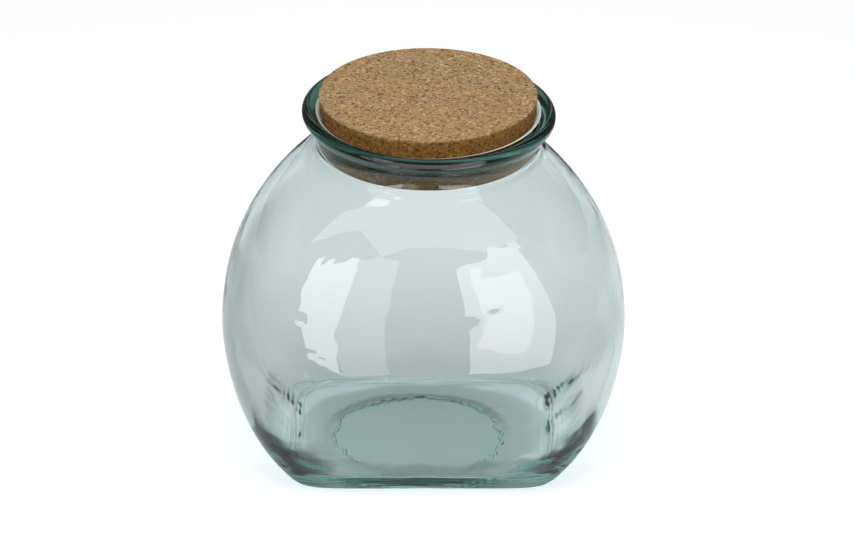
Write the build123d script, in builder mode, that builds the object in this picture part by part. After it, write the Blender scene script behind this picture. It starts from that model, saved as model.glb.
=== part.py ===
from build123d import *
from math import cos, pi, radians, sin, sqrt
import os

# A squat, flattened glass jar with a wide flared mouth, closed by a tapered cork lid.
# Lengths are millimetres. Z points up, X runs across the wide face, and the origin
# is the centre of the flat base. Both pieces are symmetric about the Z axis planes.

# Body outline
body_width = 241.0
body_depth = 144.0
base_width = 156.4
base_depth = 112.0
widest_height = 88.0
shoulder_height = 202.0

# Roundness of the level outlines, two is an ellipse and more is squarer
base_squareness = 9.5
widest_squareness = 2.6
neck_squareness = 2.0
depth_blend_power = 3.0

# Glass thickness
wall_thickness = 4.5
floor_thickness = 10.0
floor_width = 106.0
floor_depth = 74.0
floor_squareness = 3.0
shoulder_extra = 3.0
floor_corner_radius = 6.0
base_edge_radius = 4.0

# Neck and lip, heights here are measured up from the shoulder or from the lip
neck_wall = 4.8
neck_root_radius = 4.0
lip_width = 11.0
lip_bead_radius = 3.8
lip_bead_rise = 21.5
lip_flare_height = 13.0
bead_under_angle = 40.0
mouth_edge_rise = 0.9
mouth_edge_radius = 3.0

# Cork lid
cork_top_radius = 63.0
cork_bottom_radius = 60.0
cork_height = 32.0
cork_stands_proud = 11.6
cork_edge_break = 0.9

# Fit between the cork and the mouth
seat_clearance = 0.3

# How finely the lofted body is described
outline_points = 32
lower_level_shares = (0.0, 0.16, 0.42, 0.72)
upper_level_shares = (0.0, 0.3, 0.56, 0.78, 0.93, 1.05)

os.makedirs("parts", exist_ok=True)

half_width = body_width / 2
half_depth = body_depth / 2
lip_bead_height = shoulder_height + lip_bead_rise
mouth_edge_height = lip_bead_height + mouth_edge_rise
cork_top_height = mouth_edge_height + cork_stands_proud
cork_bottom_height = cork_top_height - cork_height
cork_taper = (cork_top_radius - cork_bottom_radius) / cork_height


def bore_radius(height):
    """Radius of the mouth at a height, so that it follows the cork all the way down."""
    return cork_bottom_radius + cork_taper * (height - cork_bottom_height) + seat_clearance


def curve_reach(rise, widest, narrow):
    """Height of a quarter ellipse that narrows from widest to narrow over a rise."""
    return rise / sqrt(1 - (narrow / widest) ** 2)


def narrowed(widest, distance, reach):
    """Half size on a quarter ellipse at a distance from its widest level."""
    return widest * sqrt(1 - (distance / reach) ** 2)


def level_outline(half_x, half_y, squareness):
    """Points round a rounded outline, with one on each of its corners."""
    points = []
    for index in range(outline_points):
        turn = 2 * pi * index / outline_points
        reach = (abs(cos(turn)) ** squareness + abs(sin(turn)) ** squareness) ** (-1 / squareness)
        points.append((half_x * reach * cos(turn), half_y * reach * sin(turn)))
    return points


def blended(start, end, share):
    """Value a share of the way from start to end."""
    return start + (end - start) * share


def jar_levels(widest_x, widest_y, foot_x, foot_y, foot_height, foot_square, mouth, mouth_height):
    """Heights, half sizes and squareness from the foot up to the round mouth."""
    drop = widest_height - foot_height
    rise = mouth_height - widest_height
    lower_x = curve_reach(drop, widest_x, foot_x)
    lower_y = curve_reach(drop, widest_y, foot_y)
    upper_x = curve_reach(rise, widest_x, mouth)
    levels = []
    for share in lower_level_shares:
        distance = drop * (1 - share)
        half_x = narrowed(widest_x, distance, lower_x)
        half_y = narrowed(widest_y, distance, lower_y)
        square = blended(foot_square, widest_squareness, sqrt(1 - (1 - share) ** 2))
        levels.append((foot_height + drop * share, half_x, half_y, square))
    for share in upper_level_shares:
        half_x = narrowed(widest_x, rise * share, upper_x)
        turned_round = min(share, 1.0)
        half_y = half_x * blended(widest_y / widest_x, 1, turned_round ** depth_blend_power)
        square = blended(widest_squareness, neck_squareness, turned_round)
        levels.append((widest_height + rise * share, half_x, half_y, square))
    return levels


# Hollow of the body, a rounded bowl that narrows to the round mouth
hollow_top = shoulder_height - shoulder_extra
inner_levels = jar_levels(
    half_width - wall_thickness,
    half_depth - wall_thickness,
    floor_width / 2,
    floor_depth / 2,
    floor_thickness,
    floor_squareness,
    bore_radius(hollow_top),
    hollow_top,
)
with BuildPart() as hollow:
    for height, half_x, half_y, square in inner_levels:
        with BuildSketch(Plane.XY.offset(height)):
            with BuildLine():
                Spline(*level_outline(half_x, half_y, square), periodic=True)
            make_face()
    loft()
    fillet(hollow.faces().sort_by(Axis.Z)[0].edges(), radius=floor_corner_radius)

# Glass jar, a blown body with a thick foot, a short neck and a rounded flared lip
neck_radius = bore_radius(shoulder_height) + neck_wall
lip_radius = bore_radius(mouth_edge_height) + lip_width
outer_levels = jar_levels(
    half_width,
    half_depth,
    base_width / 2,
    base_depth / 2,
    0,
    base_squareness,
    neck_radius,
    shoulder_height,
)
bead_centre = lip_radius - lip_bead_radius
lip_top = lip_bead_height + lip_bead_radius
bead_under_turn = radians(bead_under_angle)
bead_under = (
    bead_centre + lip_bead_radius * sin(bead_under_turn),
    lip_bead_height - lip_bead_radius * cos(bead_under_turn),
)
flare_start = lip_bead_height - lip_bead_radius - lip_flare_height
mouth_clear_height = cork_top_height + cork_height
with BuildPart() as glass_jar:
    for height, half_x, half_y, square in outer_levels:
        with BuildSketch(Plane.XY.offset(height)):
            with BuildLine():
                Spline(*level_outline(half_x, half_y, square), periodic=True)
            make_face()
    loft()
    fillet(glass_jar.faces().sort_by(Axis.Z)[0].edges(), radius=base_edge_radius)
    with BuildSketch(Plane.XZ):
        with BuildLine():
            Polyline(
                (0, mouth_edge_height),
                (0, widest_height),
                (neck_radius, widest_height),
                (neck_radius, flare_start),
            )
            Spline(
                (neck_radius, flare_start),
                bead_under,
                tangents=((0, 1), (cos(bead_under_turn), sin(bead_under_turn))),
            )
            ThreePointArc(
                bead_under,
                (lip_radius, lip_bead_height),
                (bead_centre, lip_top),
            )
            Polyline(
                (bead_centre, lip_top),
                (bore_radius(mouth_edge_height), mouth_edge_height),
                (0, mouth_edge_height),
            )
        make_face()
    revolve(axis=Axis.Z)
    root_edges = [
        edge
        for edge in glass_jar.edges()
        if abs(edge.center().Z - shoulder_height) < neck_root_radius
    ]
    fillet(root_edges, radius=neck_root_radius)
    add(hollow.part, mode=Mode.SUBTRACT)
    with BuildSketch(Plane.XZ):
        with BuildLine():
            Polyline(
                (0, widest_height),
                (bore_radius(widest_height), widest_height),
                (bore_radius(mouth_clear_height), mouth_clear_height),
                (0, mouth_clear_height),
                close=True,
            )
        make_face()
    revolve(axis=Axis.Z, mode=Mode.SUBTRACT)
    mouth_edges = [
        edge
        for edge in glass_jar.edges().filter_by(GeomType.CIRCLE)
        if abs(edge.arc_center.Z - mouth_edge_height) < seat_clearance
        and abs(edge.radius - bore_radius(mouth_edge_height)) < seat_clearance
    ]
    fillet(mouth_edges, radius=mouth_edge_radius)
glass_jar.part.label = "glass_jar"
export_step(glass_jar.part, "parts/glass_jar.step")

# Cork lid, a tapered plug of pressed cork with slightly broken edges
with BuildPart() as cork_lid:
    with BuildSketch(Plane.XZ):
        with BuildLine():
            Polyline(
                (0, cork_bottom_height),
                (cork_bottom_radius - cork_edge_break, cork_bottom_height),
                (cork_bottom_radius + cork_taper * cork_edge_break, cork_bottom_height + cork_edge_break),
                (cork_top_radius - cork_taper * cork_edge_break, cork_top_height - cork_edge_break),
                (cork_top_radius - cork_edge_break, cork_top_height),
                (0, cork_top_height),
                close=True,
            )
        make_face()
    revolve(axis=Axis.Z)
cork_lid.part.label = "cork_lid"
export_step(cork_lid.part, "parts/cork_lid.step")
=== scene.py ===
import math
import random

import bmesh
import bpy
from mathutils import Matrix, Vector


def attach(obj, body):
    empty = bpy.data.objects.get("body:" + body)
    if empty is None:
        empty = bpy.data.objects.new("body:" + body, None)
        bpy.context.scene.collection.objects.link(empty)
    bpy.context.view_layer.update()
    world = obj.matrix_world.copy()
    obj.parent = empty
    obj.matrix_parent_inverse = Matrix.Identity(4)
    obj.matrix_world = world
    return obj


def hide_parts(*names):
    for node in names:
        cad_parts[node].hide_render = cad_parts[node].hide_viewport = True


# Looks for a squat jar of thick hand-blown glass with a cork lid.
# The shapes are worked out in millimetres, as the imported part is, and turned into metres as they are made.
# The studio and the places in materials are in metres.

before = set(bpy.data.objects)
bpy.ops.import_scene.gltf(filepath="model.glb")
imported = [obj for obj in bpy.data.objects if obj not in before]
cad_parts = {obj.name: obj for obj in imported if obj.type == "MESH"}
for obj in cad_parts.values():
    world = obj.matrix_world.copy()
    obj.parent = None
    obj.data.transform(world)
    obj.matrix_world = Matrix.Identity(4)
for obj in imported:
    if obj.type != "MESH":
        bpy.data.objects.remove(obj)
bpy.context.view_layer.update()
scene = bpy.context.scene
scene.view_settings.view_transform = "Standard"
MM = 0.001

# Body of the jar, half sizes and heights
HALF_WIDTH, HALF_DEPTH = 120.5, 72.0
FOOT_HALF_WIDTH, FOOT_HALF_DEPTH = 78.2, 56.0
WIDEST_Z, SHOULDER_Z = 88.0, 202.0
FOOT_SQUARENESS, WIDEST_SQUARENESS, ROUND = 9.5, 2.6, 2.0
DEPTH_POWER = 3.0
FOOT_EDGE_IN, FOOT_EDGE_UP = 3.0, 4.0
FOOT_RIDGES_TO, FOOT_RIDGE, FOOT_RIDGE_RATE, FOOT_RIDGE_SWAY, FOOT_RIDGES_END = 15.0, 0.09, 2.4, 3.0, 6.0
BODY_STOPS_BELOW_SHOULDER = 2.4

# Hollow of the jar
WALL = 3.7
FLOOR_Z = 10.0
THICK_BELOW, THICKER_X, THICKER_Y, FLOOR_SQUARENESS = 30.0, 7.0, 1.0, 4.0
HOLLOW_FOLLOWS = 0.6
FLOOR_CORNER = 4.0
FLOOR_MIDDLE_RISE, FLOOR_SIDE_DROP = 2.0, 3.0
FLOOR_RISE_FROM_Y, FLOOR_RISE_TO_Y, FLOOR_DROP_FROM_X, FLOOR_DROP_TO_X = -58.0, -18.0, 56.0, 80.0
FLOOR_RISE_FADES, FLOOR_WAVE_FADES = 14.0, 20.0
HOLLOW_TOP, MOUTH_BLEND = 201.5, 1.2

# Round punt pressed up into the underside
PUNT_HALF_WIDTH, PUNT_HALF_DEPTH, PUNT_X, PUNT_Y = 53.0, 46.0, -4.0, -5.0
PUNT_DEPTH, PUNT_EDGE = 3.0, 2.4
PUNT_CALM, PUNT_CALM_FROM_Y, PUNT_CALM_TO_Y = 0.25, -46.0, -22.0

# Cork and the mouth that follows its taper
CORK_BOTTOM, CORK_TOP = 204.0, 236.0
CORK_LOW_RADIUS, CORK_TOP_RADIUS = 60.0, 63.0
CORK_WORN, CORK_SHRUNK, CORK_SEATED = 0.9, 0.08, 0.35
# Points of its worn edges: how far in from the full radius, and how far from the level face
CORK_LOW_EDGE = ((CORK_WORN, 0.0), (0.35, 0.2), (CORK_SHRUNK, CORK_WORN))
CORK_TOP_EDGE = ((0.12, CORK_WORN), (0.4, 0.25), (CORK_WORN, 0.04))
SEAT = 0.3

# Neck and lip
NECK_RADIUS = 64.9
NECK_ROOT = ((66.2, 201.3), (65.5, 202.6), (65.1, 204.0))
FLARE_START, FLARE_PULL_UP, FLARE_PULL_IN = (NECK_RADIUS + 0.05, 205.4), 5.0, 5.5
BEAD_RADIUS, BEAD_Z, BEAD_UNDER = 3.8, 223.5, math.radians(40.0)
LIP_RADIUS = 73.2
MOUTH_Z, MOUTH_EDGE_RADIUS = 224.4, 3.0

# The mouth of the hand-made jar stands a little to one side, and its lip leans more than the cork does
LIP_LEAN, CORK_LEAN = math.radians(1.6), math.radians(0.3)
MOUTH_SHIFT = 2.6
LEAN_FROM, LEAN_FULL = 186.0, 206.0

# How finely the pieces are made: points round a ring, rings of each part, and shares of a ring's size
AROUND = 360
PUNT_STEPS, FOOT_EDGE_STEPS, FOOT_STEPS, BODY_STEPS = 6, 10, 36, 135
FLARE_STEPS, BEAD_STEPS, SLOPE_STEPS, HIGHLIGHT_STEP, MOUTH_STEPS, BORE_STEPS = 18, 20, 10, 8, 14, 12
WALL_STEPS, CORNER_STEPS = 140, 10
PUNT_SHARES = (0.02, 0.25, 0.5, 0.7, 0.85, 0.94)
UNDER_SHARES = (0.35, 0.75)
FLOOR_SHARES = (0.97, 0.93, 0.86, 0.78, 0.68, 0.56, 0.44, 0.32, 0.2, 0.1, 0.02)
CORK_AROUND, CORK_SIDE_STEPS = 180, 26
CORK_UNDER_SHARES = (0.01, 0.3, 0.6, 0.85, 0.95)
CORK_TOP_SHARES = (0.96, 0.88, 0.7, 0.5, 0.3, 0.15, 0.01)


# Formulas of the shape
def cork_radius(z):
    widening = (CORK_TOP_RADIUS - CORK_LOW_RADIUS) * (z - CORK_BOTTOM)
    return CORK_LOW_RADIUS + widening / (CORK_TOP - CORK_BOTTOM)


def bore_radius(z):
    return cork_radius(z) + SEAT


def blend(a, b, share):
    return a + (b - a) * share


def smooth(a, b, x):
    """A soft step from 0 at a to 1 at b."""
    t = min(1.0, max(0.0, (x - a) / (b - a)))
    return t * t * (3 - 2 * t)


def narrowed(widest, narrow, distance, rise):
    """Half size on a quarter ellipse that goes from widest to narrow over a rise."""
    reach = rise / math.sqrt(1 - (narrow / widest) ** 2)
    return widest * math.sqrt(max(0.0, 1 - (distance / reach) ** 2))


def body_level(z, widest, foot, foot_z, foot_squareness, mouth, mouth_z):
    """Half width, half depth and squareness of the body at a height."""
    if z < WIDEST_Z:
        drop = WIDEST_Z - foot_z
        share = (z - foot_z) / drop
        half_x = narrowed(widest[0], foot[0], WIDEST_Z - z, drop)
        half_y = narrowed(widest[1], foot[1], WIDEST_Z - z, drop)
        ease = math.sqrt(max(0.0, 1 - (1 - share) ** 2))
        return half_x, half_y, blend(foot_squareness, WIDEST_SQUARENESS, ease)
    rise = mouth_z - WIDEST_Z
    share = min(1.0, (z - WIDEST_Z) / rise)
    half_x = narrowed(widest[0], mouth, z - WIDEST_Z, rise)
    half_y = half_x * blend(widest[1] / widest[0], 1.0, share ** DEPTH_POWER)
    return half_x, half_y, blend(WIDEST_SQUARENESS, ROUND, share)


def outer_level(z):
    return body_level(
        z, (HALF_WIDTH, HALF_DEPTH), (FOOT_HALF_WIDTH, FOOT_HALF_DEPTH), 0.0, FOOT_SQUARENESS,
        NECK_RADIUS, SHOULDER_Z,
    )


def inner_level(z):
    """The hollow follows the outside, with thicker glass towards the floor."""
    if z < WIDEST_Z:
        half_x, half_y, squareness = outer_level(z)
        low = 1.0 - smooth(FLOOR_Z, THICK_BELOW, z)
        squareness = blend(WIDEST_SQUARENESS, squareness, HOLLOW_FOLLOWS)
        return (
            half_x - WALL - THICKER_X * low, half_y - WALL - THICKER_Y * low,
            blend(squareness, FLOOR_SQUARENESS, low),
        )
    return body_level(
        z, (HALF_WIDTH - WALL, HALF_DEPTH - WALL), (FOOT_HALF_WIDTH, FOOT_HALF_DEPTH), FLOOR_Z,
        FLOOR_SQUARENESS, bore_radius(HOLLOW_TOP), HOLLOW_TOP,
    )


def arc(centre, radius, start, end, steps):
    """Points of an arc in the profile, with angles from the outward direction."""
    points = []
    for i in range(steps + 1):
        turn = blend(start, end, i / steps)
        points.append((centre[0] + radius * math.cos(turn), centre[1] + radius * math.sin(turn)))
    return points


# Slow waves for the unevenness of hand-blown glass
def waves(seed, count, low, high):
    """A few waves over random directions, always the same for one seed."""
    rng = random.Random(seed)
    made = []
    for _ in range(count):
        axis = Vector((rng.uniform(-1, 1), rng.uniform(-1, 1), rng.uniform(-1, 1))).normalized()
        made.append((axis, rng.uniform(low, high), rng.uniform(0, 2 * math.pi)))
    return made


def wave(made, point):
    return sum(math.sin(axis.dot(point) * rate + phase) for axis, rate, phase in made) / len(made)


SLOW = waves(3, 5, 0.03, 0.07)
RIPPLE = waves(11, 9, 0.10, 0.30)
FINE = waves(23, 9, 0.30, 0.80)
JAGGED = waves(31, 7, 0.55, 1.10)
# How far each kind of wave moves a surface: the outside, the hollow, what is added low in it, and the punt
OUTSIDE_INSET, OUTSIDE_SLOW, OUTSIDE_RIPPLE, OUTSIDE_FINE = 0.25, 0.2, 0.015, 0.04
INSIDE_INSET, INSIDE_SLOW, INSIDE_RIPPLE = 0.5, 0.5, 0.08
LOW_RIPPLE, LOW_FINE, LOW_JAGGED, LOW_FROM, LOW_TO = 1.2, 0.3, 0.25, 14.0, 60.0
PUNT_JAGGED, PUNT_FINE, PUNT_RIPPLE = 3.0, 1.6, 2.2
# The floor's waves go up and down, and grow from a share of the foot's size outward
FLOOR_SLOW, FLOOR_RIPPLE, FLOOR_FINE, EDGE_RIPPLE, EDGE_FINE = 0.3, 0.35, 0.12, 1.6, 0.4
FLOOR_EDGE_FROM = 0.6
# Small dents in the front, each with its place across, its height and its size
DENTS = (
    (-70.5, 120.0, 1.6), (-66.0, 116.0, 1.3), (-64.0, 100.0, 1.8), (-58.5, 96.5, 1.2), (40.0, 132.0, 1.5),
)
DENT_DEPTH = 0.16


def floor_rise(x, y, z):
    """The floor is thicker in the middle and at the back than towards its two sides and the front."""
    low = 1.0 - smooth(FLOOR_Z, FLOOR_Z + FLOOR_CORNER + FLOOR_RISE_FADES, z)
    middle = FLOOR_MIDDLE_RISE * smooth(FLOOR_RISE_FROM_Y, FLOOR_RISE_TO_Y, y)
    return low * blend(middle, -FLOOR_SIDE_DROP, smooth(FLOOR_DROP_FROM_X, FLOOR_DROP_TO_X, abs(x)))


def floor_wave(p):
    """Unevenness of the floor, more towards its edge."""
    edge = smooth(FLOOR_EDGE_FROM, 1.0, math.hypot(p.x / FOOT_HALF_WIDTH, p.y / FOOT_HALF_DEPTH))
    ripple, fine = FLOOR_RIPPLE + EDGE_RIPPLE * edge, FLOOR_FINE + EDGE_FINE * edge
    return ripple * wave(RIPPLE, p) + FLOOR_SLOW * wave(SLOW, p) + fine * wave(FINE, p)


# Rings of the jar
def level_ring(level, inset, z, side):
    half_x, half_y, squareness = level
    ring = []
    for i in range(AROUND):
        turn = 2 * math.pi * i / AROUND
        across, deep = math.cos(turn), math.sin(turn)
        reach = (abs(across) ** squareness + abs(deep) ** squareness) ** (-1 / squareness)
        ring.append(((half_x - inset) * reach * across, (half_y - inset) * reach * deep, z, side))
    return ring


def round_ring(radius, z, side):
    return level_ring((radius, radius, ROUND), 0.0, z, side)


def punt_ring(share, inset, z):
    """A ring of the round punt in the underside, a share of its size or inset from its edge."""
    level = (PUNT_HALF_WIDTH * share, PUNT_HALF_DEPTH * share, ROUND)
    centred = level_ring(level, inset, z, "punt")
    return [(x + PUNT_X, y + PUNT_Y, height, side) for x, y, height, side in centred]


def outside_rings():
    """From the middle of the underside, round the foot's edge and up the body."""
    # the punt, then the flat foot round it
    rings = [punt_ring(share, 0.0, PUNT_DEPTH) for share in PUNT_SHARES]
    for i in range(PUNT_STEPS + 1):
        inset, z = PUNT_EDGE * (1 - i / PUNT_STEPS), PUNT_DEPTH * (1 - smooth(0, PUNT_STEPS, i))
        rings.append(punt_ring(1.0, inset, z))
    half_x, half_y, squareness = outer_level(0.0)
    rim = rings[-1]
    foot = level_ring((half_x - FOOT_EDGE_IN, half_y - FOOT_EDGE_IN, squareness), 0.0, 0.0, "under")
    for share in UNDER_SHARES:
        rings.append([
            (blend(a[0], b[0], share), blend(a[1], b[1], share), 0.0, "under") for a, b in zip(rim, foot)
        ])
    for i in range(FOOT_EDGE_STEPS + 1):
        turn = math.pi / 2 * i / FOOT_EDGE_STEPS
        z = FOOT_EDGE_UP * (1 - math.cos(turn))
        rings.append(level_ring(outer_level(z), FOOT_EDGE_IN * (1 - math.sin(turn)), z, "out"))
    top = SHOULDER_Z - BODY_STOPS_BELOW_SHOULDER
    heights = [blend(FOOT_EDGE_UP, FOOT_RIDGES_TO, i / FOOT_STEPS) for i in range(1, FOOT_STEPS + 1)]
    heights += [blend(FOOT_RIDGES_TO, top, i / BODY_STEPS) for i in range(1, BODY_STEPS + 1)]
    for z in heights:
        rings.append(level_ring(outer_level(z), 0.0, z, "out"))
    return rings


def lip_rings():
    """From the hollow curve at the neck's root, up the flare, round the bead and in to the mouth's edge."""
    rings = [round_ring(radius, z, "lip") for radius, z in NECK_ROOT]
    bead_middle = (LIP_RADIUS - BEAD_RADIUS, BEAD_Z)
    start = Vector(FLARE_START)
    under = (math.sin(BEAD_UNDER), math.cos(BEAD_UNDER))
    end = Vector((bead_middle[0] + BEAD_RADIUS * under[0], BEAD_Z - BEAD_RADIUS * under[1]))
    pull_up = start + Vector((0.0, FLARE_PULL_UP))
    pull_in = end - Vector((under[1], under[0])) * FLARE_PULL_IN
    for i in range(FLARE_STEPS + 1):
        t = i / FLARE_STEPS
        p = (start * (1 - t) ** 3 + pull_up * 3 * t * (1 - t) ** 2
             + pull_in * 3 * t * t * (1 - t) + end * t ** 3)
        rings.append(round_ring(p.x, p.y, "lip"))
    bead = arc(bead_middle, BEAD_RADIUS, BEAD_UNDER - math.pi / 2, math.pi / 2, BEAD_STEPS)
    rings += [round_ring(r, z, "lip") for r, z in bead[1:]]
    # slope in to the mouth, then its rounded edge, which carries a painted highlight, and the bore
    mouth = bore_radius(MOUTH_Z)
    bead_top = (bead_middle[0], BEAD_Z + BEAD_RADIUS)
    slope = math.atan2(bead_top[1] - MOUTH_Z, bead_top[0] - mouth)
    taper = math.atan2(CORK_TOP_RADIUS - CORK_LOW_RADIUS, CORK_TOP - CORK_BOTTOM)
    reach = MOUTH_EDGE_RADIUS / math.tan((math.pi / 2 + slope + taper) / 2)
    edge_start = Vector((mouth + reach * math.cos(slope), MOUTH_Z + reach * math.sin(slope)))
    edge_middle = edge_start + Vector((math.sin(slope), -math.cos(slope))) * MOUTH_EDGE_RADIUS
    for i in range(1, SLOPE_STEPS):
        share = i / SLOPE_STEPS
        side = "lip" if i < HIGHLIGHT_STEP else "edge_highlight"
        radius, z = blend(bead_top[0], edge_start.x, share), blend(bead_top[1], edge_start.y, share)
        rings.append(round_ring(radius, z, side))
    edge = arc(edge_middle, MOUTH_EDGE_RADIUS, math.pi / 2 + slope, math.pi - taper, MOUTH_STEPS)
    rings += [round_ring(r, z, "edge_highlight") for r, z in edge]
    for i in range(1, BORE_STEPS + 1):
        z = blend(edge[-1][1], HOLLOW_TOP + MOUTH_BLEND, i / BORE_STEPS)
        rings.append(round_ring(bore_radius(z), z, "bore"))
    return rings


def inside_rings():
    """Down the hollow of the body to the middle of its floor."""
    rings = []
    top, low = HOLLOW_TOP - MOUTH_BLEND, FLOOR_Z + FLOOR_CORNER
    for i in range(WALL_STEPS + 1):
        z = blend(top, low, i / WALL_STEPS)
        rings.append(level_ring(inner_level(z), 0.0, z, "in"))
    for i in range(1, CORNER_STEPS + 1):
        turn = math.pi / 2 * i / CORNER_STEPS
        z = low - FLOOR_CORNER * math.sin(turn)
        rings.append(level_ring(inner_level(low), FLOOR_CORNER * (1 - math.cos(turn)), z, "in"))
    half_x, half_y, squareness = inner_level(low)
    for share in FLOOR_SHARES:
        flat = ((half_x - FLOOR_CORNER) * share, (half_y - FLOOR_CORNER) * share, squareness)
        rings.append(level_ring(flat, 0.0, FLOOR_Z, "floor"))
    return rings


def uneven(x, y, z, side):
    """The same point, moved a little into the glass or the hollow."""
    p = Vector((x, y, z))
    inward = 0.0
    if side == "out":
        inward = OUTSIDE_INSET + OUTSIDE_SLOW * wave(SLOW, p) + OUTSIDE_RIPPLE * wave(RIPPLE, p)
        inward += OUTSIDE_FINE * wave(FINE, p)
        # faint level ridges where the foot was pressed
        ridges = 1.0 - smooth(FOOT_RIDGES_TO - FOOT_RIDGES_END, FOOT_RIDGES_TO, z)
        sway = FOOT_RIDGE_SWAY * wave(SLOW, p)
        inward += FOOT_RIDGE * ridges * (1.0 + math.sin(z * FOOT_RIDGE_RATE + sway))
        if y < 0:
            inward += sum(
                DENT_DEPTH * math.exp(-((x - across) ** 2 + (z - height) ** 2) / (2 * size ** 2))
                for across, height, size in DENTS
            )
    elif side == "in":
        low = 1.0 - smooth(LOW_FROM, LOW_TO, z)
        inward = INSIDE_INSET + INSIDE_SLOW * wave(SLOW, p)
        inward += (INSIDE_RIPPLE + LOW_RIPPLE * low) * wave(RIPPLE, p)
        inward += LOW_FINE * low * wave(FINE, p) + LOW_JAGGED * low * wave(JAGGED, p)
    elif side == "punt":
        # every ring of the punt follows the same ragged edge, which is calmer at the front
        out = math.hypot((x - PUNT_X) / PUNT_HALF_WIDTH, (y - PUNT_Y) / PUNT_HALF_DEPTH)
        edge = Vector((PUNT_X + (x - PUNT_X) / out, PUNT_Y + (y - PUNT_Y) / out, 0.0))
        jagged = PUNT_JAGGED * wave(JAGGED, edge) + PUNT_FINE * wave(FINE, edge)
        jagged += PUNT_RIPPLE * wave(RIPPLE, edge)
        calm = blend(PUNT_CALM, 1.0, smooth(PUNT_CALM_FROM_Y, PUNT_CALM_TO_Y, edge.y))
        inward = out * out * jagged * calm
    if side in ("in", "floor"):
        p.z += floor_rise(x, y, z) + (1.0 - smooth(FLOOR_Z, FLOOR_Z + FLOOR_WAVE_FADES, z)) * floor_wave(p)
    flat = Vector((x, y, 0.0))
    if flat.length > inward:
        p -= flat.normalized() * inward
    return p


def lean(p, angle):
    """Shifts and tips a point of the mouth, from the shoulder up."""
    share = smooth(LEAN_FROM, LEAN_FULL, p.z)
    pivot = Vector((0.0, 0.0, SHOULDER_Z))
    turned = pivot + Matrix.Rotation(angle * share, 3, "Y") @ (p - pivot)
    return turned + Vector((MOUTH_SHIFT * share, 0.0, 0.0))


def lip_angle(p):
    """The bore leans as the cork does, and the lip outside it leans more."""
    out = smooth(bore_radius(MOUTH_Z), LIP_RADIUS - BEAD_RADIUS, math.hypot(p.x, p.y))
    return blend(CORK_LEAN, LIP_LEAN, out)


def closed_mesh(name, rings, marked=()):
    """A closed smooth mesh in metres, with a second material from each marked ring to the next."""
    bm = bmesh.new()
    made = [[bm.verts.new(p * MM) for p in ring] for ring in rings]
    for index, (a, b) in enumerate(zip(made, made[1:])):
        for i in range(len(a)):
            j = (i + 1) % len(a)
            face = bm.faces.new((a[i], a[j], b[j], b[i]))
            face.material_index = 1 if index in marked else 0
    bm.faces.new(list(reversed(made[0])))
    bm.faces.new(made[-1])
    bmesh.ops.recalc_face_normals(bm, faces=bm.faces)
    for face in bm.faces:
        face.smooth = True
    mesh = bpy.data.meshes.new(name)
    bm.to_mesh(mesh)
    bm.free()
    piece = bpy.data.objects.new(name, mesh)
    scene.collection.objects.link(piece)
    return piece


def glass_jar():
    rings, edge_highlight = [], set()
    for ring_points in outside_rings() + lip_rings() + inside_rings():
        if ring_points[0][-1] == "edge_highlight":
            edge_highlight.add(len(rings))
        moved = []
        for x, y, z, side in ring_points:
            p = uneven(x, y, z, side)
            moved.append(lean(p, lip_angle(p)))
        rings.append(moved)
    return closed_mesh("glass_jar_blown", rings, edge_highlight)


def cork_lid():
    """A tapered plug with slightly worn edges."""
    height = CORK_TOP - CORK_BOTTOM
    low, top = CORK_LOW_RADIUS, CORK_TOP_RADIUS
    profile = [(share * low, 0.0) for share in CORK_UNDER_SHARES]
    profile += [(low - inset, up) for inset, up in CORK_LOW_EDGE]
    for i in range(1, CORK_SIDE_STEPS):
        h = blend(CORK_WORN, height - CORK_WORN, i / CORK_SIDE_STEPS)
        profile.append((blend(low, top, h / height) - CORK_SHRUNK, h))
    profile += [(top - inset, height - down) for inset, down in CORK_TOP_EDGE]
    profile += [(share * top, height) for share in CORK_TOP_SHARES]
    rings = []
    for radius, h in profile:
        ring = []
        for i in range(CORK_AROUND):
            turn = 2 * math.pi * i / CORK_AROUND
            p = Vector((radius * math.cos(turn), radius * math.sin(turn), CORK_BOTTOM + h - CORK_SEATED))
            ring.append(lean(p, CORK_LEAN))
        rings.append(ring)
    return closed_mesh("cork_lid_pressed", rings)


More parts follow.
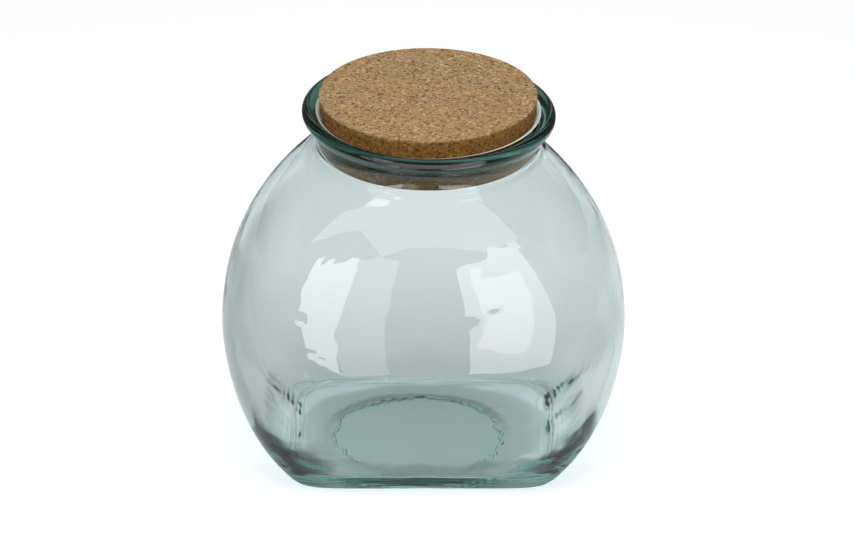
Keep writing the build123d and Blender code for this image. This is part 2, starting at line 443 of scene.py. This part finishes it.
# Materials
class Graph:
    """Short ways to add and join the nodes of a material or of the world."""

    def __init__(self, tree):
        self.nodes, self.links = tree.nodes, tree.links
        self.nodes.clear()

    def add(self, kind, inputs=None, **settings):
        """A node with its settings, and with values or sockets for its inputs by name or number."""
        node = self.nodes.new(kind)
        for name, value in settings.items():
            setattr(node, name, value)
        for name, value in (inputs or {}).items():
            self.feed(node.inputs[name], value)
        return node

    def feed(self, socket, value):
        if isinstance(value, bpy.types.NodeSocket):
            self.links.new(value, socket)
        else:
            socket.default_value = value

    def place(self, kind="Object"):
        """Coordinates as one vector, and their X, Y and Z."""
        vector = self.add("ShaderNodeTexCoord").outputs[kind]
        axes = self.add("ShaderNodeSeparateXYZ", {"Vector": vector}).outputs
        return vector, axes["X"], axes["Y"], axes["Z"]

    def noise(self, vector, scale, detail):
        return self.add("ShaderNodeTexNoise", {"Vector": vector, "Scale": scale, "Detail": detail}).outputs

    def maths(self, operation, first, second=None):
        node = self.add("ShaderNodeMath", {0: first}, operation=operation)
        if second is not None:
            self.feed(node.inputs[1], second)
        return node.outputs["Value"]

    def product(self, first, *others):
        for value in others:
            first = self.maths("MULTIPLY", first, value)
        return first

    def ranged(self, value, span, at_start, at_end):
        """A soft step from one number at the start of a span to another at its end."""
        start, end = span
        inputs = {"Value": value, "From Min": start, "From Max": end, "To Min": at_start, "To Max": at_end}
        return self.add("ShaderNodeMapRange", inputs, interpolation_type="SMOOTHSTEP").outputs["Result"]

    def rise(self, value, span):
        return self.ranged(value, span, 0.0, 1.0)

    def fade(self, value, span):
        return self.ranged(value, span, 1.0, 0.0)

    def scaled(self, share, tone):
        """1 where a share is 0, and a tone where it is 1."""
        return self.ranged(share, (0.0, 1.0), 1.0, tone)

    def squared_distance(self, x, y, ellipse):
        middle_x, middle_y, size_x, size_y = ellipse
        dx = self.maths("DIVIDE", self.maths("SUBTRACT", x, middle_x), size_x)
        dy = self.maths("DIVIDE", self.maths("SUBTRACT", y, middle_y), size_y)
        return self.maths("ADD", self.maths("POWER", dx, 2.0), self.maths("POWER", dy, 2.0))

    def distance(self, x, y, ellipse):
        """How far a place is from the middle of an ellipse, as a share of its half sizes."""
        return self.maths("SQRT", self.squared_distance(x, y, ellipse))

    def mixed(self, share, first, second, kind="RGBA", how="MIX"):
        """A mix of two colours, or of two numbers where the kind is FLOAT."""
        node = self.add("ShaderNodeMix", {"Factor": share}, data_type=kind, blend_type=how)
        socket_type = "VALUE" if kind == "FLOAT" else kind
        pair = [socket for socket in node.inputs if socket.type == socket_type and socket.name in ("A", "B")]
        for socket, value in zip(pair, (first, second)):
            self.feed(socket, value)
        return next(socket for socket in node.outputs if socket.type == socket_type)

    def mixed_shader(self, share, first, second):
        return self.add("ShaderNodeMixShader", {0: share, 1: first, 2: second}).outputs["Shader"]

    def bump(self, height, strength, distance):
        inputs = {"Height": height, "Strength": strength, "Distance": distance}
        return self.add("ShaderNodeBump", inputs).outputs["Normal"]


def new_material(name):
    """A material with one principled shader, and the output that shows it."""
    material = bpy.data.materials.new(name)
    material.use_nodes = True
    graph = Graph(material.node_tree)
    shader = graph.add("ShaderNodeBsdfPrincipled")
    output = graph.add("ShaderNodeOutputMaterial", {"Surface": shader.outputs["BSDF"]})
    return material, graph, shader, output


# Tints of the glass, some of them painted shade, and the spans over which they begin and end
CLEAR = (1.0, 1.0, 1.0, 1.0)
END_PAINTED_SHADE, END_BEGINS_Z, END_ENDS_Z = (0.42, 0.48, 0.46, 1.0), (0.002, 0.005), (0.010, 0.034)
END_ASIDE, END_Y = (0.060, 0.080), (-0.035, -0.015)
STREAK_PAINTED_SHADE, STREAK_NOISE, STREAK_Z = (0.30, 0.38, 0.35, 1.0), (0.45, 0.64), (0.0075, 0.0095)
STREAK_SCALE = (7.0, 7.0, 420.0)
FRONT_PAINTED_SHADE, FRONT_Z, FRONT_Y = (0.36, 0.47, 0.42, 1.0), (0.0065, 0.0090), (-0.0545, -0.0525)
PATCH_TINT, PATCH_Z = (0.78, 0.98, 0.94, 1.0), (0.0035, 0.0045)
PATCH_ELLIPSE, PATCH_EDGE_SQUARED = (-0.004, -0.005, 0.060, 0.053), (0.95, 1.30)
LIP_PAINTED_SHADE, LIP_Z = (0.085, 0.205, 0.165, 1.0), (0.208, 0.217)
DEPTH_TINT, DEPTH_DENSITY = (0.12, 0.557, 0.514, 1.0), 35.0
LAMPLIGHT_TINT = (0.93, 0.93, 0.93, 1.0)


def glass_material():
    """Clear glass with a faint blue-green tint that shows where it is thick, and painted shade on its foot
    and lip.
    """
    material, graph, shader, output = new_material("jar_glass")
    vector, x, y, z = graph.place()
    # the front ends of the thick foot are darkened to grey, painted shade
    low = graph.product(graph.fade(z, END_ENDS_Z), graph.rise(z, END_BEGINS_Z))
    ends = graph.product(low, graph.rise(graph.maths("ABSOLUTE", x), END_ASIDE), graph.fade(y, END_Y))
    tone = graph.mixed(ends, CLEAR, END_PAINTED_SHADE)
    # its edge is darkened with painted shade, in level streaks and along the front
    flattened = graph.add("ShaderNodeMapping", {"Vector": vector, "Scale": STREAK_SCALE}).outputs["Vector"]
    streak = graph.product(
        graph.rise(graph.noise(flattened, 1.0, 2.0)["Fac"], STREAK_NOISE), graph.fade(z, STREAK_Z),
    )
    tone = graph.mixed(streak, tone, STREAK_PAINTED_SHADE)
    tone = graph.mixed(graph.product(graph.fade(z, FRONT_Z), graph.fade(y, FRONT_Y)), tone, FRONT_PAINTED_SHADE)
    # the underside is a deeper blue-green in and round the pressed patch
    patch = graph.fade(graph.squared_distance(x, y, PATCH_ELLIPSE), PATCH_EDGE_SQUARED)
    tone = graph.mixed(graph.product(patch, graph.fade(z, PATCH_Z)), tone, PATCH_TINT)
    # the lip is tinted dark, painted shade for the dark look of its thick bead
    graph.feed(shader.inputs["Base Color"], graph.mixed(graph.rise(z, LIP_Z), tone, LIP_PAINTED_SHADE))
    shader.inputs["Roughness"].default_value = 0.0
    shader.inputs["IOR"].default_value = 1.5
    shader.inputs["Transmission Weight"].default_value = 1.0
    tint = graph.add("ShaderNodeVolumeAbsorption", {"Color": DEPTH_TINT, "Density": DEPTH_DENSITY})
    graph.feed(output.inputs["Volume"], tint.outputs["Volume"])
    # lamps shine through the glass onto what is inside and under it
    clear = graph.add("ShaderNodeBsdfTransparent", {"Color": LAMPLIGHT_TINT})
    shadow_ray = graph.add("ShaderNodeLightPath").outputs["Is Shadow Ray"]
    surface = graph.mixed_shader(shadow_ray, shader.outputs["BSDF"], clear.outputs["BSDF"])
    graph.feed(output.inputs["Surface"], surface)
    # faint ripples on the surface
    graph.feed(shader.inputs["Normal"], graph.bump(graph.noise(vector, 45.0, 2.0)["Fac"], 0.04, 0.002))
    return material


def mouth_highlight_material():
    """The edge of the mouth, painted pale as its highlight, and lit as a rough surface."""
    material, graph, shader, _ = new_material("mouth_edge_painted_highlight")
    vector, *_ = graph.place()
    # the painted highlight, broken up by a fine grain
    grain = graph.noise(vector, 900.0, 3.0)["Fac"]
    tone = graph.mixed(grain, (0.50, 0.56, 0.53, 1.0), (0.82, 0.86, 0.83, 1.0))
    graph.feed(shader.inputs["Base Color"], tone)
    shader.inputs["Roughness"].default_value = 0.5
    return material


CORK_BROWNS = (
    (0.0, (0.10, 0.05, 0.02, 1)), (0.07, (0.22, 0.12, 0.05, 1)), (0.24, (0.34, 0.21, 0.10, 1)),
    (0.65, (0.40, 0.26, 0.13, 1)), (0.90, (0.47, 0.32, 0.17, 1)), (1.0, (0.64, 0.46, 0.27, 1)),
)
CORK_SIDE_BROWN_AND_SHADE, CORK_TOP_TONE = (0.71, 0.53, 0.24, 1.0), (0.82, 0.81, 0.78, 1.0)
CORK_TOP_FROM, CORK_TOP_FULL = 2.2, 0.9
CORK_WARP = (0.003, 0.003, 0.003)


def cork_material():
    """Pressed granules of cork in several browns."""
    material, graph, shader, _ = new_material("pressed_cork")
    vector, _, _, z = graph.place()
    # the granules are warped so that they aren't regular
    inputs = {0: graph.noise(vector, 260.0, 2.0)["Color"], 1: CORK_WARP, 2: vector}
    warped = graph.add("ShaderNodeVectorMath", inputs, operation="MULTIPLY_ADD")
    granules = graph.add("ShaderNodeTexVoronoi", {"Vector": warped.outputs["Vector"], "Scale": 820.0}).outputs
    parts = graph.add("ShaderNodeSeparateColor", {"Color": granules["Color"]})
    tone = graph.add("ShaderNodeValToRGB", {"Fac": parts.outputs["Red"]})
    browns = tone.color_ramp.elements
    browns[0].color, browns[1].color = CORK_BROWNS[0][1], CORK_BROWNS[-1][1]
    for position, colour in CORK_BROWNS[1:-1]:
        browns.new(position).color = colour
    # the side is browner than the top, and darker as painted shade
    top = graph.rise(z, ((CORK_TOP - CORK_TOP_FROM) * MM, (CORK_TOP - CORK_TOP_FULL) * MM))
    shade = graph.mixed(top, CORK_SIDE_BROWN_AND_SHADE, CORK_TOP_TONE)
    graph.feed(shader.inputs["Base Color"], graph.mixed(1.0, tone.outputs["Color"], shade, how="MULTIPLY"))
    shader.inputs["Roughness"].default_value = 0.85
    shader.inputs["Specular IOR Level"].default_value = 0.25
    graph.feed(shader.inputs["Normal"], graph.bump(granules["Distance"], 0.4, 0.0005))
    return material


jar = glass_jar()
jar.data.materials.append(glass_material())
jar.data.materials.append(mouth_highlight_material())
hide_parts("glass_jar")
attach(jar, "jar")

cork = cork_lid()
cork.data.materials.append(cork_material())
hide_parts("cork_lid")
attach(cork, "lid")


# Studio: floor, surroundings, cards, lamps and camera
FLOOR_HALF = 4.0
FLOOR_TONE, CAMERA_TONE, CAMERA_LIFT = 0.94, 0.5, 0.6
THROUGH_TONE, THROUGH_LIFT = 0.22, 0.56
# Painted shadows on the floor, seen only through the glass (UNDER_FOOT, BY_CORNERS, BY_LEFT), and a dark
# place in front that the glass mirrors (IN_FRONT): an ellipse by its middle and half sizes, the span of its
# edge as a share of them, and the tone inside
UNDER_FOOT = (0.0, 0.0, 0.070, 0.056), (0.90, 1.06), 0.88
BY_CORNERS = (0.116, -0.050, 0.048, 0.038), (0.65, 1.08), 0.10
BY_LEFT = (-0.080, -0.040, 0.028, 0.032), (0.45, 1.10), 0.32
IN_FRONT = (0.0, -0.42, 0.36, 0.30), (0.75, 1.00), 0.20
# Rings of painted shade (PATCH_RIM) and painted light (GLOW), with the spans of their inner and outer edge
# and the tone between them
PATCH_RIM = (-0.004, -0.005, 0.054, 0.047), (0.95, 1.02), (1.04, 1.13), 0.66
GLOW = (0.0, 0.005, 0.078, 0.052), (0.92, 1.05), (1.10, 1.34), 1.30
# Spans of the floor seen through the glass: painted shade in STRIP, LEFT and NEAR_BEHIND, painted light in
# RIGHT, BEHIND and FAR
RIM_SPAN_Y, RIM_IN_FRONT = (-0.01, 0.03), 0.2
STRIP_SPAN_Y, STRIP = (-0.036, -0.028), 0.62
RIGHT_SPAN_X, RIGHT_SPAN_Y, RIGHT = (0.07, 0.12), (0.06, 0.13), 1.32
LEFT_SPAN_X, LEFT = (-0.17, -0.10), 0.68
BEHIND_SPAN_Y, NEAR_BEHIND, BEHIND = (0.07, 0.26), 0.85, 1.12
FAR_SPAN_Y, FAR_ASIDE, FAR_SPAN_SLANTED, FAR_SLANT, FAR = (0.30, 0.45), (0.08, 0.15), (0.25, 0.45), 0.5, 1.4
# The table that the glass mirrors, and the tones on it and beyond it
TABLE, TABLE_EDGE, ON_TABLE, BEYOND_TABLE = (0.12, 0.0, 1.0, 1.0), (0.42, 0.80), 0.95, 0.15


def spot(graph, x, y, place):
    """The tone of a place inside its ellipse, and 1 outside it."""
    ellipse, edge, tone = place
    return graph.ranged(graph.distance(x, y, ellipse), edge, tone, 1.0)


def ring(graph, x, y, place):
    """1 between the two edges of a ring and 0 elsewhere."""
    ellipse, inner_edge, outer_edge, _ = place
    distance = graph.distance(x, y, ellipse)
    return graph.product(graph.rise(distance, inner_edge), graph.fade(distance, outer_edge))


def painted_light_through_glass(graph, x, y):
    """Painted shade, dimmer under the foot and dark by its front corners, and painted light, brighter round
    it and far behind it.
    """
    aside = graph.maths("ABSOLUTE", x)
    rim = graph.product(ring(graph, x, y, PATCH_RIM), graph.ranged(y, RIM_SPAN_Y, RIM_IN_FRONT, 1.0))
    under = graph.product(
        spot(graph, x, y, UNDER_FOOT), graph.scaled(rim, PATCH_RIM[-1]),
        graph.ranged(y, STRIP_SPAN_Y, STRIP, 1.0), graph.scaled(ring(graph, x, y, GLOW), GLOW[-1]),
    )
    corners = graph.product(spot(graph, aside, y, BY_CORNERS), spot(graph, x, y, BY_LEFT))
    right = graph.mixed(graph.rise(x, RIGHT_SPAN_X), 1.0, graph.ranged(y, RIGHT_SPAN_Y, RIGHT, 1.0), "FLOAT")
    slanted = graph.maths("SUBTRACT", y, graph.product(x, FAR_SLANT))
    far = graph.product(
        graph.rise(y, FAR_SPAN_Y), graph.rise(aside, FAR_ASIDE), graph.rise(slanted, FAR_SPAN_SLANTED),
    )
    beside = graph.product(right, graph.mixed(far, graph.ranged(x, LEFT_SPAN_X, LEFT, 1.0), 1.0, "FLOAT"))
    behind = graph.product(graph.ranged(y, BEHIND_SPAN_Y, NEAR_BEHIND, BEHIND), graph.scaled(far, FAR))
    return graph.product(under, corners, beside, behind)


def tone_mirrored(graph, x, y):
    """Mirrored in the glass the floor ends where a table would, and is dark in front of the jar."""
    table = graph.ranged(graph.distance(x, y, TABLE), TABLE_EDGE, ON_TABLE, BEYOND_TABLE)
    return graph.product(table, spot(graph, x, y, IN_FRONT))


def studio_floor():
    mesh = bpy.data.meshes.new("studio_floor")
    corners = [(x * FLOOR_HALF, y * FLOOR_HALF, 0.0) for x, y in ((-1, -1), (1, -1), (1, 1), (-1, 1))]
    mesh.from_pydata(corners, [], [(0, 1, 2, 3)])
    floor = bpy.data.objects.new("studio_floor", mesh)
    scene.collection.objects.link(floor)
    material, graph, shader, _ = new_material("studio_white")
    shader.inputs["Roughness"].default_value = 0.9
    shader.inputs["Specular IOR Level"].default_value = 0.1
    _, x, y, _ = graph.place()
    # the painted shadows and light of the floor, as the glass shows it
    through = painted_light_through_glass(graph, x, y)
    # some plain white is added where the camera looks, so that the floor runs into the white background
    # and keeps a light shadow, and where it looks through the glass, which keeps the cork's shadow light
    path = graph.add("ShaderNodeLightPath").outputs
    camera_ray, glass_ray = path["Is Camera Ray"], path["Is Transmission Ray"]
    lift = graph.product(through, THROUGH_LIFT, glass_ray)
    lift = graph.maths("ADD", graph.product(camera_ray, CAMERA_LIFT), lift)
    shader.inputs["Emission Color"].default_value = (1.0, 1.0, 1.0, 1.0)
    graph.feed(shader.inputs["Emission Strength"], lift)
    tone = graph.mixed(path["Is Glossy Ray"], FLOOR_TONE, tone_mirrored(graph, x, y), "FLOAT")
    tone = graph.mixed(glass_ray, tone, graph.product(through, THROUGH_TONE), "FLOAT")
    tone = graph.mixed(camera_ray, tone, CAMERA_TONE, "FLOAT")
    grey = graph.add("ShaderNodeCombineColor", {channel: tone for channel in ("Red", "Green", "Blue")})
    graph.feed(shader.inputs["Base Color"], grey.outputs["Color"])
    material.cycles.emission_sampling = "NONE"
    mesh.materials.append(material)


def ragged(corners, share, seed, steps=9):
    """The outline through the corners with a hand-torn edge, in the corners' own level plane."""
    rng = random.Random(seed)
    points = []
    for a, b in zip(corners, corners[1:] + corners[:1]):
        a, b = Vector(a), Vector(b)
        aside = Vector((a.y - b.y, b.x - a.x, 0.0)) * share
        points.append(a)
        for i in range(1, steps):
            points.append(a.lerp(b, i / steps) + aside * rng.uniform(-1, 1))
    return points


def reflection_card(name, corners, strength):
    """A lit card that only shows where the glass mirrors it."""
    mesh = bpy.data.meshes.new(name)
    mesh.from_pydata(corners, [], [tuple(range(len(corners)))])
    card = bpy.data.objects.new(name, mesh)
    scene.collection.objects.link(card)
    card.visible_camera = False
    card.visible_transmission = False
    card.visible_diffuse = False
    card.visible_shadow = False
    material, _, shader, _ = new_material(name)
    shader.inputs["Base Color"].default_value = (0.0, 0.0, 0.0, 1.0)
    shader.inputs["Specular IOR Level"].default_value = 0.0
    shader.inputs["Emission Color"].default_value = (1.0, 1.0, 1.0, 1.0)
    shader.inputs["Emission Strength"].default_value = strength
    material.cycles.emission_sampling = "NONE"
    mesh.materials.append(material)


COOL_WHITE, WHITE = (0.95, 0.97, 1.0, 1.0), (1.0, 1.0, 1.0, 1.0)
SWEEP_Y, SWEEP_Z = (-0.15, 0.25), (0.75, 0.45)


def surroundings():
    """Soft grey light, white where the camera looks past the object, and a pale sweep behind it to mirror."""
    world = bpy.data.worlds.new("studio")
    scene.world = world
    world.use_nodes = True
    graph = Graph(world.node_tree)

    def background(colour, strength):
        node = graph.add("ShaderNodeBackground", {"Color": colour, "Strength": strength})
        return node.outputs["Background"]

    dark = background(COOL_WHITE, 0.12)
    _, _, y, z = graph.place("Generated")
    sweep = graph.product(graph.rise(y, SWEEP_Y), graph.rise(z, SWEEP_Z))
    mirrored = graph.mixed_shader(sweep, dark, background(WHITE, 0.15))
    path = graph.add("ShaderNodeLightPath").outputs
    inside = graph.mixed_shader(path["Is Glossy Ray"], background(COOL_WHITE, 0.35), mirrored)
    inside = graph.mixed_shader(path["Is Transmission Ray"], inside, dark)
    seen = graph.mixed_shader(path["Is Camera Ray"], inside, background(WHITE, 1.0))
    graph.add("ShaderNodeOutputWorld", {"Surface": seen})


def lamp(name, place, target, width, height, power, mirrored=True):
    data = bpy.data.lights.new(name, "AREA")
    data.shape = "RECTANGLE"
    data.size, data.size_y, data.energy = width, height, power
    ob = bpy.data.objects.new(name, data)
    ob.location = place
    ob.visible_glossy = mirrored
    ob.rotation_euler = (Vector(target) - Vector(place)).to_track_quat("-Z", "Y").to_euler()
    scene.collection.objects.link(ob)


def camera():
    distance, pitch, focus_z, aside = 1.68, math.radians(28.7), 0.1212, 0.0024
    focal_px, frame_px = 2831.0, 855.0
    data = bpy.data.cameras.new("camera")
    data.sensor_width = 36.0
    data.lens = focal_px * data.sensor_width / frame_px
    data.clip_end = 50.0
    ob = bpy.data.objects.new("camera", data)
    ob.location = (aside, -distance * math.cos(pitch), focus_z + distance * math.sin(pitch))
    ob.rotation_euler = (math.pi / 2 - pitch, 0.0, 0.0)
    scene.collection.objects.link(ob)
    scene.camera = ob


studio_floor()
surroundings()
reflection_card("card_left", ragged([
    (-0.592, -0.538, 0.006), (-0.217, -0.279, 0.006), (-0.086, -0.205, 0.006), (-0.185, -0.384, 0.006),
], 0.035, 5), 6.0)
reflection_card("card_left_faint", [
    (-0.185, -0.384, 0.004), (-0.086, -0.205, 0.004), (-0.030, -0.225, 0.004), (-0.055, -0.330, 0.004),
], 2.1)
reflection_card("card_right", ragged([
    (1.154, -1.070, 0.004), (0.063, -0.317, 0.004), (0.043, -0.221, 0.004), (0.195, -0.216, 0.004),
    (0.263, -0.266, 0.004),
], 0.02, 8), 4.4)
reflection_card("card_right_bright", [
    (0.332, -0.405, 0.006), (0.101, -0.328, 0.006), (0.063, -0.286, 0.006), (0.168, -0.277, 0.006),
], 6.6)
reflection_card("card_front_low", [
    (2.200, -1.780, 0.002), (-1.300, -1.780, 0.002), (-0.114, -0.360, 0.002), (0.200, -0.420, 0.002),
], 2.1)
reflection_card("card_front", [
    (-3.0, -1.8, 0.01), (2.2, -1.8, 0.01), (2.2, -1.8, 1.5), (-3.0, -1.8, 1.5),
], 2.4)
lamp("overhead", (0.0, -0.30, 1.5), (0.0, 0.0, 0.0), 1.0, 0.8, 16.0, mirrored=False)
lamp("left", (-0.9, -1.0, 1.13), (0.0, 0.0, 0.12), 0.45, 0.45, 2.2)
lamp("right", (0.9, -1.0, 1.13), (0.0, 0.0, 0.12), 0.55, 0.45, 2.2)
camera()
